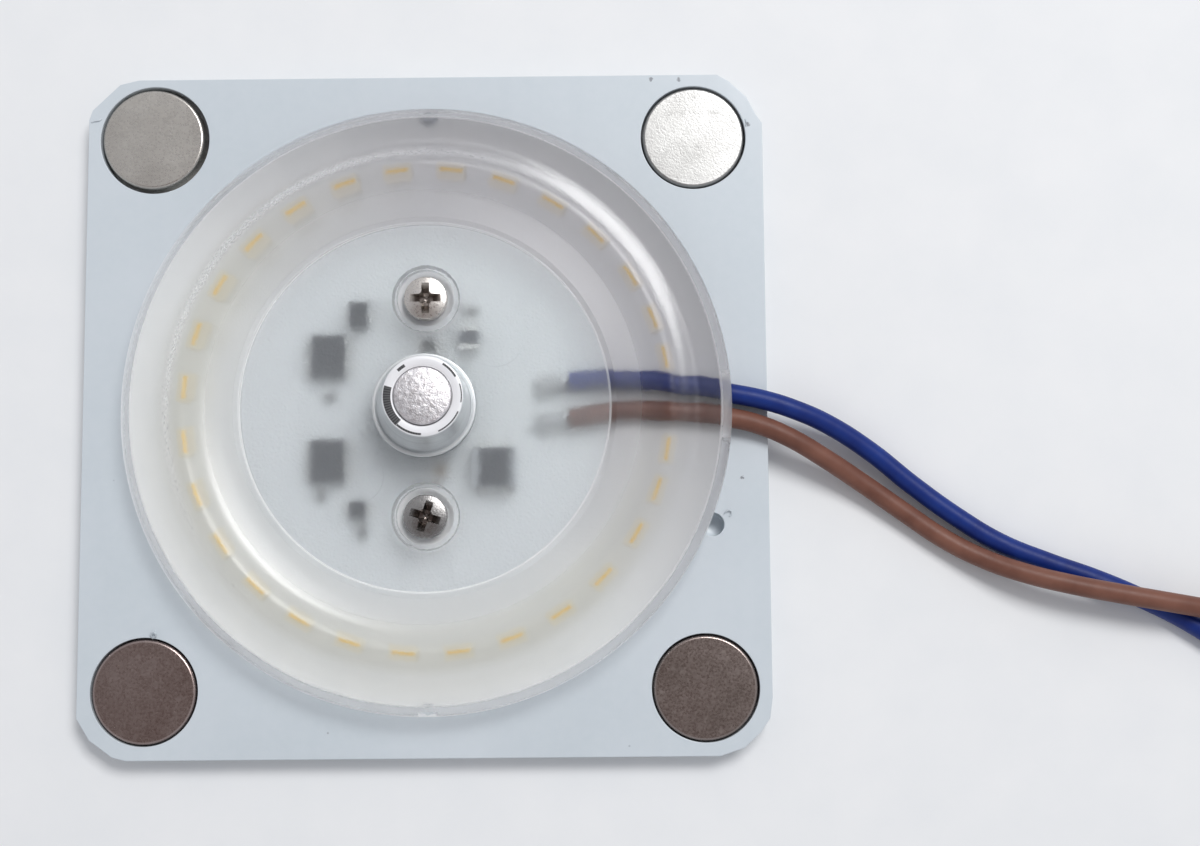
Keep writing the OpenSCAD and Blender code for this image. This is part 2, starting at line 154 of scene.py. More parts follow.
# Tools that cut right through the board or the disc reach up to here
TOOL_TOP_Z = 9

# The ring's grey side faces this way, in degrees, and its white side the other way: painted
# shade and painted light for how the lamp's light passes through the lens
PAINTED_SHADE_AZIMUTH = 50
# The lens's materials, in the order of their slots
RING_TOP, RING_UNDER, DISC_TOP, FROSTED, CLOUDY = range(5)


# ---- Materials ---------------------------------------------------------------------------

def rgba(colour):
    """A colour with its fourth number, or a socket as it is."""
    if isinstance(colour, bpy.types.NodeSocket) or len(colour) == 4:
        return colour
    return (*colour, 1.0)


class Finish:
    """Builds one node material. Its methods take sockets or plain values, and return
    sockets."""

    def __init__(self, name):
        self.material = bpy.data.materials.new(name)
        self.material.use_nodes = True
        self.tree = self.material.node_tree
        self.bsdf = self.tree.nodes["Principled BSDF"]
        self.output = self.tree.nodes["Material Output"]
        self._place = None

    def node(self, kind, inputs=None, **settings):
        made = self.tree.nodes.new(kind)
        for key, value in settings.items():
            setattr(made, key, value)
        for key, value in (inputs or {}).items():
            self.feed(made.inputs[key], value)
        return made

    def feed(self, socket, value):
        if isinstance(value, bpy.types.NodeSocket):
            self.tree.links.new(value, socket)
        else:
            socket.default_value = value

    def set(self, **values):
        """Feeds the main shader's sockets, named in lower case with underscores."""
        for key, value in values.items():
            name = key.replace("_", " ").title().replace("Ior", "IOR")
            self.feed(self.bsdf.inputs[name], value)
        return self

    def place(self):
        """Position in the piece's own frame, in metres."""
        if self._place is None:
            self._place = self.node("ShaderNodeTexCoord").outputs["Object"]
        return self._place

    def boxed(self):
        """Position as shares of the piece's own box."""
        return self.node("ShaderNodeTexCoord").outputs["Generated"]

    def stretched(self, scale, turn):
        return self.node(
            "ShaderNodeMapping",
            {"Vector": self.place(), "Scale": scale, "Rotation": (0, 0, turn)},
        ).outputs["Vector"]

    def noise(self, size_mm, detail=3.0, rough=0.55, where=None):
        """Noise of about this grain size, from 0 to 1."""
        return self.node(
            "ShaderNodeTexNoise",
            {"Vector": where or self.place(), "Scale": 1 / (size_mm * MM),
             "Detail": detail, "Roughness": rough}).outputs["Fac"]

    def cells(self, size_mm):
        """Distance from the nearest of many scattered points."""
        return self.node(
            "ShaderNodeTexVoronoi",
            {"Vector": self.place(), "Scale": 1 / (size_mm * MM)}).outputs["Distance"]

    def math(self, operation, a, b=0.0):
        made = self.node("ShaderNodeMath", operation=operation)
        self.feed(made.inputs[0], a)
        self.feed(made.inputs[1], b)
        return made.outputs[0]

    def span(self, value, low, high, to_low=0.0, to_high=1.0):
        """Value remapped from low..high to to_low..to_high, clamped."""
        return self.node(
            "ShaderNodeMapRange",
            {"Value": value, "From Min": low, "From Max": high,
             "To Min": to_low, "To Max": to_high}).outputs["Result"]

    def between(self, value, low, high, soft):
        """1 where the value lies in low..high, with soft ends."""
        return self.math("MULTIPLY", self.span(value, low - soft, low + soft),
                         self.span(value, high + soft, high - soft))

    def apart(self, value, middle):
        """How far the value lies from the middle, on either side."""
        return self.math("ABSOLUTE", self.math("SUBTRACT", value, middle))

    def blend(self, share, a, b):
        """Colour a at share 0, b at share 1."""
        made = self.node("ShaderNodeMix", data_type="RGBA")
        self.feed(made.inputs[0], share)
        self.feed(made.inputs[6], rgba(a))
        self.feed(made.inputs[7], rgba(b))
        return made.outputs[2]

    def mottle(self, size_mm, detail, a, b, low=0.3, high=0.7):
        """Colour that wanders between a and b in patches of about this size."""
        return self.blend(self.span(self.noise(size_mm, detail), low, high), a, b)

    def bump(self, height, depth_mm):
        return self.node("ShaderNodeBump", {"Height": height, "Distance": depth_mm * MM}
                         ).outputs["Normal"]

    def split(self, vector):
        made = self.node("ShaderNodeSeparateXYZ", {"Vector": vector})
        return made.outputs[0], made.outputs[1], made.outputs[2]

    def height(self):
        """Height in millimetres."""
        return self.math("MULTIPLY", self.split(self.place())[2], 1 / MM)

    def around(self, centre):
        """Radius in millimetres and angle in radians round a vertical axis."""
        x, y, _ = self.split(self.place())
        dx = self.math("SUBTRACT", x, centre[0] * MM)
        dy = self.math("SUBTRACT", y, centre[1] * MM)
        square = self.math("ADD", self.math("MULTIPLY", dx, dx),
                           self.math("MULTIPLY", dy, dy))
        radius = self.math("MULTIPLY", self.math("SQRT", square), 1 / MM)
        return radius, self.math("ARCTAN2", dy, dx)


def plate_plastic():
    """Pale plastic with faint clouds, rubs, dust, and a few larger specks of dirt."""
    f = Finish("plate_plastic")
    fine = f.noise(1.1, 4)
    tone = f.mottle(22, 2, (0.56, 0.615, 0.655), (0.6, 0.65, 0.69), 0.35, 0.65)
    tone = f.blend(f.span(fine, 0.3, 0.7, 0, 0.25), tone, (0.64, 0.68, 0.72))
    dusty = f.span(f.noise(3.1, 1), 0.6, 0.66)
    dust = f.math("MULTIPLY", f.span(f.cells(2.6), 0.03, 0.06, 1, 0), dusty)
    tone = f.blend(f.math("MULTIPLY", dust, 0.55), tone, (0.2, 0.22, 0.26))
    for x, y, size in SPECKS:
        radius, _ = f.around((x, y))
        ragged = f.math("ADD", radius, f.span(f.noise(0.3, 2), 0.3, 0.7, -0.12, 0.12))
        tone = f.blend(f.span(ragged, size, size * 0.6, 0, 0.7), tone, (0.12, 0.12, 0.14))
    rub = f.noise(1.0, 2, where=f.stretched((1, 0.06, 1), 0.5))
    height = f.math("ADD", f.math("MULTIPLY", fine, 0.5), f.math("MULTIPLY", rub, 0.3))
    return f.set(base_color=tone, roughness=f.span(rub, 0.3, 0.75, 0.28, 0.42),
                 specular_ior_level=0.45, normal=f.bump(height, 0.012)).material


def nickel(name, light, dark, roughness, grain=1.0, recess_shade_at=None):
    """Plated metal. Given the middle of a screw head's top, it has painted shade inside the
    recess there: the metal darkens below the top."""
    f = Finish(name)
    fine = f.noise(0.22, 3)
    stain = f.span(f.noise(1.4, 5, 0.7), 0.56, 0.72)
    tone = f.mottle(4.5, 4, light, dark, 0.32, 0.68)
    tone = f.blend(f.math("MULTIPLY", stain, 0.25), tone, tuple(c * 0.6 for c in dark))
    if recess_shade_at is not None:
        radius, _ = f.around(recess_shade_at)
        # Painted shade: darker with depth inside the screw head's recess
        deep = f.math("MULTIPLY", f.span(f.height(), recess_shade_at[2] - 0.35, recess_shade_at[2] - 0.8),
                      f.span(radius, 2, 1.85))
        tone = f.blend(f.math("MULTIPLY", deep, 0.75), tone, (0.12, 0.09, 0.075))
    rough = f.math("ADD", f.span(fine, 0.3, 0.7, roughness - 0.06, roughness + 0.06),
                   f.math("MULTIPLY", stain, 0.1))
    return f.set(base_color=tone, metallic=1.0, roughness=rough,
                 normal=f.bump(fine, 0.008 * grain)).material


def see_through(f, tint, openness=1.0):
    """Lets a share of lamp and bounced light pass straight through the shader in f."""
    path = f.node("ShaderNodeLightPath")
    rays = f.math("MAXIMUM", path.outputs["Is Shadow Ray"], path.outputs["Is Diffuse Ray"])
    clear = f.node("ShaderNodeBsdfTransparent", {"Color": rgba(tint)})
    mixed = f.node("ShaderNodeMixShader", {0: f.math("MULTIPLY", rays, openness)})
    f.tree.links.new(f.bsdf.outputs[0], mixed.inputs[1])
    f.tree.links.new(clear.outputs[0], mixed.inputs[2])
    f.tree.links.new(mixed.outputs[0], f.output.inputs["Surface"])
    return f.material


def lens_plastic(name, shade, tint, roughness, grain_mm, depth_mm, milk, openness,
                 shine=0.5):
    """Clear plastic with a fine grain. Shade is its colour towards the lower left, tint
    its colour towards the upper right: the change between them is painted light and shade,
    standing in for how the lamp's light passes through the lens. Milk is the share that
    scatters light back, openness the share of lamp and bounced light that passes straight
    through. Roughness and openness are given inside and outside the ring's crest, and
    outside it the lower left is more open. The plastic over the LEDs is a little yellow,
    and that yellow is also painted lighter or darker from side to side."""
    f = Finish(name)
    radius, angle = f.around((MODULE_X, 0))
    turned = f.math("SUBTRACT", angle, math.radians(PAINTED_SHADE_AZIMUTH))
    side = f.span(f.math("COSINE", turned), -0.15, 0.8)
    outer = f.span(side, 0, 1, openness[1] + 0.35, openness[1])
    share = f.span(radius, RING_R + 1, RING_R + 2.5, openness[0], outer)
    # Painted light and shade: the colour runs from tint on the upper right to shade on the
    # lower left
    tone = f.blend(side, shade, tint)
    yellowed = f.math("MULTIPLY", f.span(radius, RING_R - 3.6, RING_R - 2.6),
                      f.span(radius, RING_R + 2.5, RING_R + 1.2))
    yellow = f.blend(side, (0.92, 0.91, 0.87), tuple(min(1.04 * c, 1) for c in tint))
    tone = f.blend(f.math("MULTIPLY", yellowed, 0.9), tone, yellow)
    rough = f.span(radius, RING_R - 4, RING_R - 2, roughness[0], roughness[1])
    f.set(base_color=tone, roughness=rough, ior=1.49,
          specular_ior_level=shine, transmission_weight=1 - milk,
          normal=f.bump(f.noise(grain_mm, 2), depth_mm))
    return see_through(f, tone, share)


def board_mask():
    f = Finish("board_white")
    tone = f.mottle(6, 3, (0.79, 0.81, 0.81), (0.83, 0.845, 0.84))
    return f.set(base_color=tone, roughness=0.4,
                 normal=f.bump(f.noise(0.5, 3), 0.01)).material


def led_plastic():
    """White moulding over a darker foot. It throws no shadow."""
    f = Finish("led_housing")
    _, _, height = f.split(f.boxed())
    tone = f.blend(f.span(height, 0.2, 0.35), (0.55, 0.53, 0.48), (0.85, 0.83, 0.75))
    tone = f.blend(f.span(f.noise(0.6, 2), 0.3, 0.7, 0, 0.2), tone, (0.7, 0.66, 0.55))
    f.set(base_color=tone, roughness=0.35)
    return see_through(f, (1, 1, 1))


def phosphor_gel():
    """Yellow along the middle of the ring of LEDs and pale beside it, as the lens shows
    it. It throws no shadow."""
    f = Finish("phosphor")
    radius, _ = f.around((MODULE_X, 0))
    tone = f.mottle(0.4, 2, (1, 0.72, 0.26), (1, 0.82, 0.46))
    tone = f.blend(f.span(f.apart(radius, RING_R), 0.2, 0.5), tone, (0.86, 0.83, 0.75))
    f.set(base_color=tone, roughness=0.2, coat_weight=0.3)
    return see_through(f, (1, 1, 1))


def package(name, axis, metal_from, dusty=False):
    """Black moulding with tinned terminals, which start this far from its middle along
    its axis, as a share of its length. A dusty one has pale, faded edges."""
    f = Finish(name)
    x, y, _ = f.split(f.boxed())
    off_x, off_y = f.apart(x, 0.5), f.apart(y, 0.5)
    tin = f.math("GREATER_THAN", off_x if axis == "x" else off_y, metal_from)
    tone = f.mottle(0.3, 3, (0.014, 0.018, 0.026), (0.028, 0.034, 0.046))
    if dusty:
        speck = f.span(f.noise(0.2, 2), 0.3, 0.7, -0.1, 0.1)
        edge = f.math("ADD", f.math("MAXIMUM", off_x, off_y), speck)
        tone = f.blend(f.span(edge, 0.26, 0.54), tone, (0.6, 0.62, 0.63))
    return f.set(base_color=f.blend(tin, tone, (0.6, 0.6, 0.58)), metallic=tin,
                 roughness=f.span(tin, 0, 1, 0.55, 0.3),
                 normal=f.bump(f.noise(0.12, 2), 0.01)).material


def chip_body(name, axis, tone_a, tone_b, roughness):
    """Chip part: a body with a tinned cap on each end of its axis."""
    f = Finish(name)
    x, y, _ = f.split(f.boxed())
    cap = f.math("GREATER_THAN", f.apart(x if axis == "x" else y, 0.5), 0.3)
    tone = f.mottle(0.25, 2, tone_a, tone_b)
    return f.set(base_color=f.blend(cap, tone, (0.62, 0.62, 0.6)), metallic=cap,
                 roughness=f.span(cap, 0, 1, roughness, 0.3)).material


def solder():
    f = Finish("solder")
    tone = f.mottle(0.8, 3, (0.55, 0.56, 0.57), (0.75, 0.75, 0.74))
    return f.set(base_color=tone, metallic=1.0, roughness=0.3,
                 normal=f.bump(f.noise(0.5, 3), 0.03)).material


def turned_metal(top_z):
    """Satin metal, darkened at its foot by painted shade where it meets the lens, with a
    pale top ring on which a scale of plain, faintly ribbed strokes is printed."""
    f = Finish("cap_satin")
    radius, angle = f.around((MODULE_X + CAP_LEAN[0], CAP_LEAN[1]))
    height = f.height()
    section = f.node("ShaderNodeCombineXYZ", {"X": f.math("MULTIPLY", radius, MM),
                                              "Y": f.split(f.place())[2]}).outputs[0]
    rings = f.noise(0.25, 2, where=section)
    tone = f.blend(f.span(rings, 0.3, 0.7), (0.7, 0.72, 0.73), (0.8, 0.82, 0.83))
    # Painted shade: the flange's foot is darkened as a contact shadow on the lens
    foot = f.span(height, top_z - 5.4, top_z - 5.65)
    tone = f.blend(foot, tone, (0.1, 0.105, 0.11))
    pale = f.span(height, top_z - 0.16, top_z - 0.1)
    tone = f.blend(pale, tone, (0.88, 0.88, 0.9))
    turn = f.math("MULTIPLY", angle, 180 / math.pi)
    ribs = f.span(f.math("SINE", f.math("MULTIPLY", angle, 90)), 0.1, 0.6, 0.92, 1)
    printed = None
    for low, high, inner, outer in STROKES:
        stroke = f.math("MULTIPLY", f.between(turn, low, high, 0.7),
                        f.between(radius, inner, outer, 0.03))
        printed = stroke if printed is None else f.math("MAXIMUM", printed, stroke)
    printed = f.math("MULTIPLY", f.math("MULTIPLY", printed, pale), ribs)
    tone = f.blend(printed, tone, (0.02, 0.02, 0.022))
    metal = f.math("SUBTRACT", f.span(pale, 0, 1, 0.8, 0.35),
                   f.math("MULTIPLY", printed, 0.3))
    rough = f.span(f.noise(0.2, 3), 0.3, 0.7, 0.34, 0.46)
    return f.set(base_color=tone, metallic=metal, roughness=rough,
                 normal=f.bump(rings, 0.02)).material


def hammered_metal():
    f = Finish("disc_hammered")
    fine = f.noise(0.16, 4)
    tone = f.mottle(0.5, 4, (0.56, 0.53, 0.54), (0.82, 0.8, 0.82), 0.35, 0.65)
    rough = f.span(fine, 0.3, 0.7, 0.3, 0.5)
    return f.set(base_color=tone, metallic=1.0, roughness=rough,
                 normal=f.bump(fine, 0.06)).material


def pvc(name, deep, pale):
    f = Finish(name)
    rough = f.span(f.noise(0.3, 3), 0.3, 0.7, 0.4, 0.51)
    return f.set(base_color=f.mottle(3.5, 3, deep, pale), roughness=rough,
                 specular_ior_level=0.3, normal=f.bump(f.noise(0.7, 3), 0.02)).material


def tinned_copper():
    f = Finish("tinned_copper")
    tone = f.mottle(0.6, 3, (0.72, 0.71, 0.68), (0.6, 0.52, 0.44), 0.35, 0.65)
    return f.set(base_color=tone, metallic=1.0, roughness=0.32,
                 normal=f.bump(f.noise(0.25, 3), 0.02)).material


def floor_paint():
    f = Finish("floor_paint")
    tone = f.mottle(9, 4, (0.8, 0.81, 0.82), (0.83, 0.835, 0.84))
    return f.set(base_color=tone, roughness=0.75).material


# ---- Mesh helpers, all in millimetres until show() ---------------------------------------

def placed(name, data):
    """A new object in the scene, for a mesh, a curve, a lamp or the camera."""
    made = bpy.data.objects.new(name, data)
    bpy.context.scene.collection.objects.link(made)
    return made


def clean(piece):
    """Merges doubles, drops slivers and turns every face outwards."""
    work = bmesh.new()
    work.from_mesh(piece.data)
    bmesh.ops.remove_doubles(work, verts=work.verts, dist=1e-4)
    bmesh.ops.dissolve_degenerate(work, edges=work.edges, dist=1e-4)
    bmesh.ops.recalc_face_normals(work, faces=work.faces)
    work.to_mesh(piece.data)
    work.free()


def mesh_piece(name, verts, faces, centre=(0, 0, 0)):
    """A clean mesh object from points in millimetres."""
    shift = Vector(centre)
    mesh = bpy.data.meshes.new(name)
    mesh.from_pydata([Vector(v) + shift for v in verts], [], faces)
    mesh.validate()
    piece = placed(name, mesh)
    clean(piece)
    return piece


def arc(centre, radius, start, end, count):
    """Points of an arc in a section, from start to end in degrees."""
    angles = [math.radians(start + (end - start) * i / count) for i in range(count + 1)]
    return [(centre[0] + radius * math.cos(a), centre[1] + radius * math.sin(a))
            for a in angles]


def falling_arc(run, drop):
    """Radius of an arc that starts level and drops this far over this run."""
    return (run * run + drop * drop) / (2 * drop)


def revolved(name, section, centre, steps=128):
    """A solid of revolution. Its section is a list of (radius, height), which is closed
    or starts and ends on the axis."""
    on_axis = [i for i, (r, _) in enumerate(section) if r < 1e-6]
    verts, rows = [], []
    for i, (r, z) in enumerate(section):
        if i in on_axis:
            rows.append([len(verts)])
            verts.append((0, 0, z))
            continue
        rows.append(list(range(len(verts), len(verts) + steps)))
        for k in range(steps):
            a = 2 * math.pi * k / steps
            verts.append((r * math.cos(a), r * math.sin(a), z))
    faces = []
    count = len(section)
    for i in range(count if not on_axis else count - 1):
        a, b = rows[i], rows[(i + 1) % count]
        for k in range(steps):
            n = (k + 1) % steps
            if len(a) == 1:
                faces.append((a[0], b[n], b[k]))
            elif len(b) == 1:
                faces.append((a[k], a[n], b[0]))
            else:
                faces.append((a[k], a[n], b[n], b[k]))
    return mesh_piece(name, verts, faces, centre)


def spanned(name, first, second, centre=(0, 0, 0)):
    """A solid between two outlines with as many points, each closed by a flat face."""
    n = len(first)
    walls = [(i, (i + 1) % n, n + (i + 1) % n, n + i) for i in range(n)]
    ends = [tuple(range(n - 1, -1, -1)), tuple(range(n, 2 * n))]
    return mesh_piece(name, first + second, walls + ends, centre)


def cylinder(name, radius, low, high, centre, steps):
    return revolved(name, [(0, low), (radius, low), (radius, high), (0, high)],
                    centre, steps)


def tube(name, path, radius, sides):
    """A closed tube along points in millimetres, with flat ends."""
    points = [Vector(p) for p in path]
    verts, faces = [], []
    side = None
    for i, p in enumerate(points):
        ahead = points[min(i + 1, len(points) - 1)] - points[max(i - 1, 0)]
        ahead.normalize()
        guide = side if side is not None else ahead.orthogonal()
        side = (guide - ahead * guide.dot(ahead)).normalized()
        up = ahead.cross(side)
        for k in range(sides):
            a = 2 * math.pi * k / sides
            verts.append(p + (side * math.cos(a) + up * math.sin(a)) * radius)
    for i in range(len(points) - 1):
        for k in range(sides):
            n = (k + 1) % sides
            faces.append((i * sides + k, i * sides + n, (i + 1) * sides + n,
                          (i + 1) * sides + k))
    last = (len(points) - 1) * sides
    faces.append(tuple(range(sides - 1, -1, -1)))
    faces.append(tuple(range(last, last + sides)))
    return mesh_piece(name, verts, faces)


def apply_modifiers(piece):
    bpy.context.view_layer.update()
    view = bpy.context.evaluated_depsgraph_get()
    made = bpy.data.meshes.new_from_object(piece.evaluated_get(view))
    piece.modifiers.clear()
    piece.data = made


def combine(piece, tools, operation):
    """Boolean of the piece with each tool, which is used up."""
    for tool in tools:
        step = piece.modifiers.new("combine", "BOOLEAN")
        step.operation = operation
        step.solver = "EXACT"
        step.object = tool
        apply_modifiers(piece)
        bpy.data.objects.remove(tool)
    clean(piece)


def joined(name, parts):
    """One object from several, which are used up."""
    work = bmesh.new()
    for part in parts:
        work.from_mesh(part.data)
        bpy.data.objects.remove(part)
    mesh = bpy.data.meshes.new(name)
    work.to_mesh(mesh)
    work.free()
    return placed(name, mesh)


def bevelled(piece, width):
    """Rounds the piece's sharp edges."""
    step = piece.modifiers.new("bevel", "BEVEL")
    step.width = width
    step.segments = 2
    step.limit_method = "ANGLE"
    step.angle_limit = math.radians(35)
    apply_modifiers(piece)


def smooth(piece, angle=30, weighted=True):
    """Smooth shading, with edges sharper than this angle kept."""
    piece.data.shade_smooth()
    piece.data.set_sharp_from_angle(angle=math.radians(angle))
    if weighted:
        step = piece.modifiers.new("weighted", "WEIGHTED_NORMAL")
        step.weight = 80
        step.keep_sharp = True


def show(piece, material, slot, *nodes):
    """Turns the piece to metres. It rides on the object in this finish, and stands for
    these CAD nodes."""
    piece.data.transform(Matrix.Scale(MM, 4))
    piece.data.materials.clear()
    piece.data.materials.append(material)
    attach(piece, "root")
    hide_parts(*nodes)


# ---- Camera ------------------------------------------------------------------------------

def add_camera():
    data = bpy.data.cameras.new("camera")
    data.lens = 50
    data.sensor_width = 36
    data.clip_start = 0.01
    camera = placed("camera", data)
    camera.location = (0.0212, -0.0209, 0.1964)
    camera.rotation_euler = [math.radians(a) for a in (5.7, 0.27, -0.51)]
    bpy.context.scene.camera = camera


# ---- Leads -------------------------------------------------------------------------------

def lead_curve(colour, route, material):
    name = "lead_" + colour
    data = bpy.data.curves.new(name, "CURVE")
    data.dimensions = "3D"
    data.bevel_depth = LEAD_R * MM
    data.bevel_resolution = 8
    data.resolution_u = 10
    data.use_fill_caps = True
    line = data.splines.new("BEZIER")
    line.bezier_points.add(len(route) - 1)
    for spot, point in zip(line.bezier_points, route):
        spot.co = Vector(point) * MM
        spot.handle_left_type = spot.handle_right_type = "AUTO"
    data.materials.append(material)
    piece = placed(name, data)
    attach(piece, "root")
    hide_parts(name)
    return piece


def strand_bundle(colour, tip, ahead, material):
    """Seven strands that stick out of a lead, twisted and fused at the end."""
    ahead = ahead.normalized()
    side = ahead.orthogonal().normalized()
    up = ahead.cross(side)
    strand_r, sides, hidden = CORE_R / 3, 8, 0.5
    steps, turns, squeeze = 28, 1.3, 0.25
    middle = [tip - ahead * hidden, tip + ahead * STRIP_L]
    parts = [tube("strand", middle, strand_r, sides)]
    for k in range(6):
        path = []
        for i in range(steps + 1):
            t = i / steps
            a = math.pi * k / 3 + 2 * math.pi * turns * t
            reach = CORE_R * 2 / 3 * (1 - squeeze * t ** 4)
            path.append(tip + ahead * (STRIP_L * t - hidden * (1 - t))
                        + (side * math.cos(a) + up * math.sin(a)) * reach)
        parts.append(tube("strand", path, strand_r, sides))
    piece = joined("strands_" + colour, parts)
    smooth(piece, 40, weighted=False)
    show(piece, material, "tinned_copper", "lead_end_" + colour)
    return piece


def add_leads():
    tin = tinned_copper()
    leads = (
        ("blue", BLUE_ROUTE, (35.6, 1.6, 4.8), (0.002, 0.015, 0.14), (0.004, 0.028, 0.2)),
        ("brown", BROWN_ROUTE, (35.6, -1.3, 4.8), (0.135, 0.053, 0.036),
         (0.195, 0.083, 0.057)))
    for colour, route, exit_at, deep, pale in leads:
        points = [Vector(p) for p in route]
        lead = lead_curve(colour, route, pvc("lead_pvc_" + colour, deep, pale))
        strands = strand_bundle(colour, points[-1], points[-1] - points[-2], tin)


# ---- Carrier plate and magnets -----------------------------------------------------------

def add_plate():
    half = PLATE_SIDE / 2
    outline = [(x * (half - CORNER_CUT * a), y * (half - CORNER_CUT * b))
               for x, y, cuts in CORNERS for a, b in cuts]
    plate = spanned("plate", [(x, y, 0) for x, y in outline],
                    [(x, y, PLATE_T) for x, y in outline])
    above = PLATE_T + 1
    slack, drill_tip = 0.05, 0.6
    holes = [cylinder("hole", r, -1, above, (x, y, 0), 96) for x, y, r in MAGNET_HOLES]
    holes += [cylinder("hole", SHANK_R + slack, -1, above, (MODULE_X, y, 0), 32)
              for y in (-SCREW_Y, SCREW_Y)]
    floor_z = PLATE_T - STRAY_HOLE_DEPTH
    drilled = [(0, floor_z - drill_tip), (STRAY_HOLE_R, floor_z), (STRAY_HOLE_R, above),
               (0, above)]
    holes.append(revolved("hole", drilled, (*STRAY_HOLE, 0), 48))
    combine(plate, holes, "DIFFERENCE")
    bevelled(plate, 0.12)
    smooth(plate)
    apply_modifiers(plate)
    curls = [tube("curl", path, radius, 10) for path, radius in SWARF]
    plate = joined("plate", [plate] + curls)
    smooth(plate)
    show(plate, plate_plastic(), "plate_plastic", "carrier_plate")


def add_magnets():
    # The magnets are alike; their tones differ by corner as painted reflection and shade,
    # for what each one mirrors
    # Corner, finish, light and dark tone, roughness and depth of grain
    looks = (
        ("top_left", "magnet_reflection_top_left", (0.635, 0.605, 0.56), (0.545, 0.515, 0.475), 0.3, 1),
        ("top_right", "magnet_reflection_top_right", (0.44, 0.437, 0.428), (0.36, 0.356, 0.348), 0.37,
         2.4),
        ("bottom_left", "magnet_reflection_bottom_left", (0.44, 0.36, 0.34), (0.37, 0.29, 0.27), 0.28, 1),
        ("bottom_right", "magnet_reflection_bottom_right", (0.36, 0.3, 0.28), (0.3, 0.25, 0.23), 0.28, 1))
    edge_r = 0.35
    inside = MAGNET_R - edge_r
    section = ([(0, 0)] + arc((inside, edge_r), edge_r, -90, 0, 6)
               + arc((inside, PLATE_T - edge_r), edge_r, 0, 90, 6) + [(0, PLATE_T)])
    for corner, finish, light, dark, roughness, grain in looks:
        low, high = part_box("magnet_" + corner)
        middle = (low + high) / 2 / MM
        magnet = revolved("disc_magnet_" + corner, section, (middle.x, middle.y, 0))
        smooth(magnet, 40)
        show(magnet, nickel(finish, light, dark, roughness, grain), "magnet_metal",
             "magnet_" + corner)


# ---- Board and its parts -----------------------------------------------------------------

def add_board():
    board = cylinder("board", BOARD_R, BOARD_Z, BOARD_TOP, (MODULE_X, 0, 0), 192)
    slack = 0.2
    holes = [cylinder("hole", BORE_R, 0, TOOL_TOP_Z, (MODULE_X, y, 0), 48)
             for y in (-SCREW_Y, SCREW_Y)]
    holes += [cylinder("hole", PIP_R + slack, 0, TOOL_TOP_Z, (MODULE_X, y, 0), 32)
              for y in (-PIP_PLACE_R, PIP_PLACE_R)]
    combine(board, holes, "DIFFERENCE")
    bevelled(board, 0.05)
    smooth(board)
    show(board, board_mask(), "board_white", "led_board")


def dress(node, material):
    """A CAD node that stays gets a better material."""
    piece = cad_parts[node]
    if not piece.material_slots:
        piece.data.materials.append(material)
    for holder in piece.material_slots:
        holder.material = material


def dress_board_parts():
    leds = [n for n in sorted(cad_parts) if n.startswith("led_") and n[4:].isdigit()]
    grey = ((0.06, 0.065, 0.08), (0.1, 0.11, 0.13))
    tan = ((0.24, 0.18, 0.12), (0.33, 0.26, 0.18))
    black = ((0.015, 0.015, 0.017), (0.03, 0.03, 0.033))
    looks = (
        (led_plastic(), "led_housing", leds),
        (phosphor_gel(), "phosphor", ["phosphor_fills"]),
        (package("package_driver", "x", 0.325), "package_black",
         ["driver_ic_upper", "driver_ic_lower"]),
        (package("package_bridge", "y", 0.348, dusty=True), "package_black",
         ["bridge_rectifier"]),
        (package("package_diode", "x", 0.31), "package_black",
         ["diode_upper", "diode_lower"]),
        (chip_body("chip_ceramic_wide", "y", *grey, 0.5), "chip_ceramic",
         ["capacitor_input"]),
        (chip_body("chip_ceramic_long", "x", *tan, 0.5), "chip_ceramic",
         ["capacitor_supply"]),
        (chip_body("resistor_y", "y", *black, 0.25), "resistor_film",
         ["resistor_fuse", "resistor_start", "resistor_load"]),
        (chip_body("resistor_x", "x", *black, 0.25), "resistor_film",
         ["resistor_bleed", "resistor_sense"]),
        (solder(), "solder", ["solder_joint_blue", "solder_joint_brown"]))
    for material, slot, nodes in looks:
        for node in nodes:
            dress(node, material)


# ---- Lens --------------------------------------------------------------------------------

def lens_section():
    """Section from the axis along the underside, round the rim and back over the top."""
    lip, corner, flat_to = 0.12, 0.25, 10
    inside = LENS_R - WALL_T
    inner_w = RING_R - DISC_R - STEP_W
    inner_r = falling_arc(inner_w, CREST_Z - RING_FOOT_Z)
    inner_end = math.degrees(math.asin(inner_w / inner_r))
    outer_w = LENS_R - RING_R
    outer_r = falling_arc(outer_w, CREST_Z - RIM_EDGE_Z)
    outer_end = math.degrees(math.asin(outer_w / outer_r))
    section = [(0, UNDER_Z), (flat_to, UNDER_Z), (DISC_R, UNDER_Z)]
    for i in range(-20, 21):
        share = (1 + math.cos(math.pi * i / 20)) / 2
        section.append((RING_R + GROOVE_HALF_W * i / 20,
                        UNDER_Z + (GROOVE_PEAK_Z - UNDER_Z) * share))
    section += arc((inside - corner, UNDER_Z - corner), corner, 90, 0, 4)
    section += [(inside, RIM_LOW_Z + lip), (inside + lip, RIM_LOW_Z)]
    section += arc((LENS_R - lip, RIM_LOW_Z + lip), lip, -90, 0, 3)
    section += arc((RING_R, CREST_Z - outer_r), outer_r, 90 - outer_end, 90, 30)
    section += arc((RING_R, CREST_Z - inner_r), inner_r, 90, 90 + inner_end, 22)[1:]
    section += [(DISC_R + STEP_W, STEP_Z), (DISC_R + lip, STEP_Z)]
    section += arc((DISC_R + lip, STEP_Z - lip), lip, 90, 180, 3)[1:]
    section += arc((DISC_R - lip, DISC_Z + lip), lip, 0, -90, 3)
    section += [(flat_to, DISC_Z), (0, DISC_Z)]
    return section


